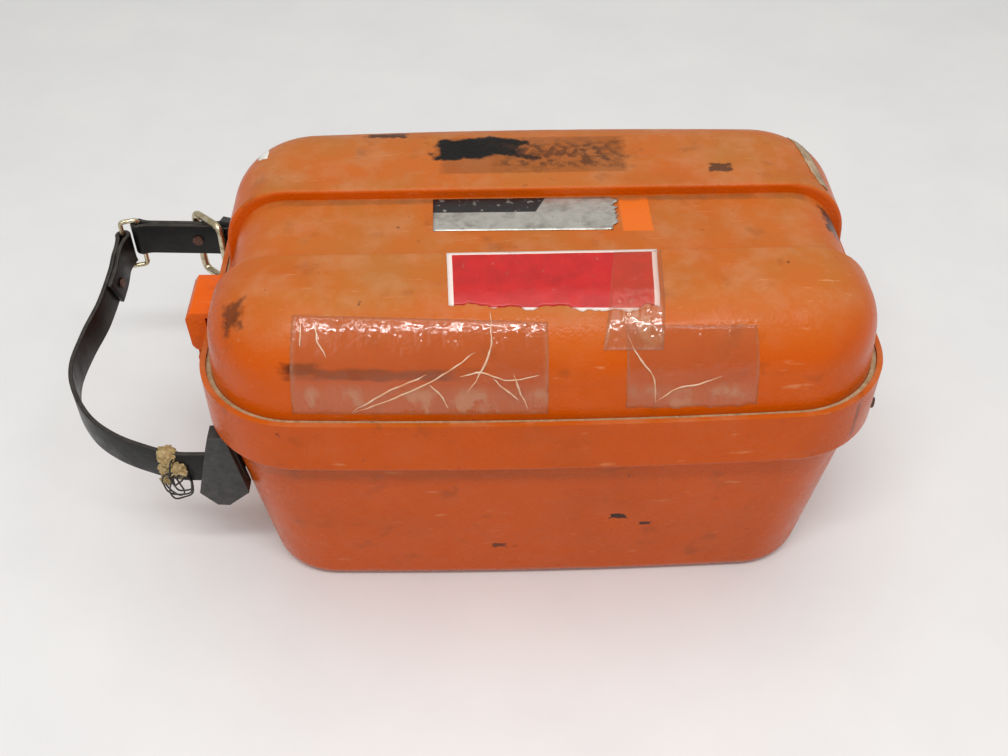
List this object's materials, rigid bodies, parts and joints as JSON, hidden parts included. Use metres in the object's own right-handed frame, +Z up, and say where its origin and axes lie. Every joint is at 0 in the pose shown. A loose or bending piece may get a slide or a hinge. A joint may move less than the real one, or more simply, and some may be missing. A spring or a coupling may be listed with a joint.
{
  "type": "automatic level in carrying case",
  "caption": "Closed moulded carrying case with a hinged domed lid, end latch and leather strap loop, with an automatic level stowed in a cradle inside.",
  "frame": {"origin": "on the resting plane under the middle of the case's tub", "axes": "+X along the case towards the hinge end, +Z up, -Y to the front; the latch and the strap are at the -X end"},
  "size_m": [0.3777, 0.182, 0.169],
  "materials": {
    "case_orange": "moulded polypropylene, faded and dusty",
    "lid_orange": "moulded polypropylene, faded on top, with tape, label and stain marks",
    "seam_rubber": "dusty grey-brown gasket",
    "hinge_steel": "dull zinc-plated steel",
    "pin_steel": "dull steel pin",
    "rivet_brown": "browned steel rivet",
    "black_fitting": "black crinkle paint on folded sheet",
    "ring_plating": "worn, yellowed plating",
    "strap_leather": "smooth black leather with lighter cut edges",
    "repair_tape": "yellowed adhesive tape",
    "repair_wire": "black enamelled wire",
    "cradle_plastic": "dark moulded insert",
    "pad_foam": "dark grey closed-cell foam",
    "level_paint": "grey-green enamel",
    "level_aluminium": "satin cast aluminium",
    "level_black": "black fluted grips",
    "screw_brass": "satin brass",
    "lens_glass": "coated lens glass",
    "vial_glass": "vial glass with tinted fluid"
  },
  "bodies": {
    "case": {"base_tub": "case_orange", "seam_gasket": "seam_rubber", "hinge_base_leaf": "hinge_steel", "hinge_pin": "pin_steel", "hinge_base_rivets": "rivet_brown", "end_rivets": "rivet_brown", "latch_pin": "pin_steel", "strap_eye": "black_fitting", "strap_eye_rivets": "rivet_brown", "short_strap": "strap_leather", "short_strap_rivet": "rivet_brown", "link_ring": "ring_plating", "long_strap": "strap_leather", "long_strap_rivet": "rivet_brown", "strap_clamp": "black_fitting", "strap_clamp_rivets": "rivet_brown", "repair_tape": "repair_tape", "repair_wire": "repair_wire", "cradle": "cradle_plastic", "level_base_plate": "level_aluminium", "tribrach": "level_aluminium", "horizontal_circle": "level_black", "level_housing": "level_paint", "objective_ring": "level_black", "objective_lens": "lens_glass", "reticle": "lens_glass", "vial_cup": "level_aluminium", "vial_glass": "vial_glass", "compensator_pivot": "pin_steel"},
    "lid": {"lid_shell": "lid_orange", "hinge_lid_leaf": "hinge_steel", "hinge_lid_rivets": "rivet_brown", "lid_pad": "pad_foam"},
    "latch": {"latch_lever": "case_orange"},
    "keeper": {"keeper_ring": "ring_plating"},
    "screw_rear": {"foot_screw_rear": "screw_brass"},
    "screw_left": {"foot_screw_left": "screw_brass"},
    "screw_right": {"foot_screw_right": "screw_brass"},
    "dioptre": {"dioptre_ring": "level_black", "eyepiece_lens": "lens_glass"},
    "focus_knob": {"focusing_knob": "level_black"},
    "focus_cell": {"focus_carriage": "level_aluminium", "focusing_lens": "lens_glass"},
    "tangent": {"tangent_drive": "level_black"},
    "pendulum": {"compensator": "level_aluminium"}
  },
  "joints": [
    {"name": "lid_hinge", "type": "hinge", "parent": "case", "child": "lid", "pos_m": [0.1485, -0.008, 0.1265], "axis": [0, 1, 0], "range_deg": [0, 105]},
    {"name": "latch_swing", "type": "hinge", "parent": "case", "child": "latch", "pos_m": [-0.1546, -0.008, 0.1015], "axis": [0, -1, 0], "range_deg": [0, 95]},
    {"name": "keeper_slide", "type": "slide", "parent": "case", "child": "keeper", "axis": [-0.9986, 0.0528, 0], "range_m": [-0.001, 0.02]},
    {"name": "foot_screw_rear_turn", "type": "hinge", "parent": "case", "child": "screw_rear", "pos_m": [0, 0.036, 0.024], "axis": [0, 0, 1], "range_deg": [-720, 720]},
    {"name": "foot_screw_left_turn", "type": "hinge", "parent": "case", "child": "screw_left", "pos_m": [-0.03118, -0.018, 0.024], "axis": [0, 0, 1], "range_deg": [-720, 720]},
    {"name": "foot_screw_right_turn", "type": "hinge", "parent": "case", "child": "screw_right", "pos_m": [0.03118, -0.018, 0.024], "axis": [0, 0, 1], "range_deg": [-720, 720]},
    {"name": "dioptre_turn", "type": "hinge", "parent": "case", "child": "dioptre", "pos_m": [0.084, 0, 0.091], "axis": [1, 0, 0], "range_deg": [-180, 180]},
    {"name": "focus_turn", "type": "hinge", "parent": "case", "child": "focus_knob", "pos_m": [0.02, 0.03, 0.091], "axis": [0, 1, 0], "range_deg": [-360, 360]},
    {"name": "focus_slide", "type": "slide", "parent": "case", "child": "focus_cell", "axis": [1, 0, 0], "range_m": [-0.009, 0.009]},
    {"name": "tangent_turn", "type": "hinge", "parent": "case", "child": "tangent", "pos_m": [0.006, 0, 0.0645], "axis": [0, 1, 0], "continuous": true},
    {"name": "compensator_swing", "type": "hinge", "parent": "case", "child": "pendulum", "pos_m": [0.004, 0, 0.1116], "axis": [0, 1, 0], "range_deg": [-0.2, 0.2]}
  ],
  "couplings": [
    {"joint": "focus_slide", "follows": "focus_turn", "m_per_rad": 0.001432}
  ]
}
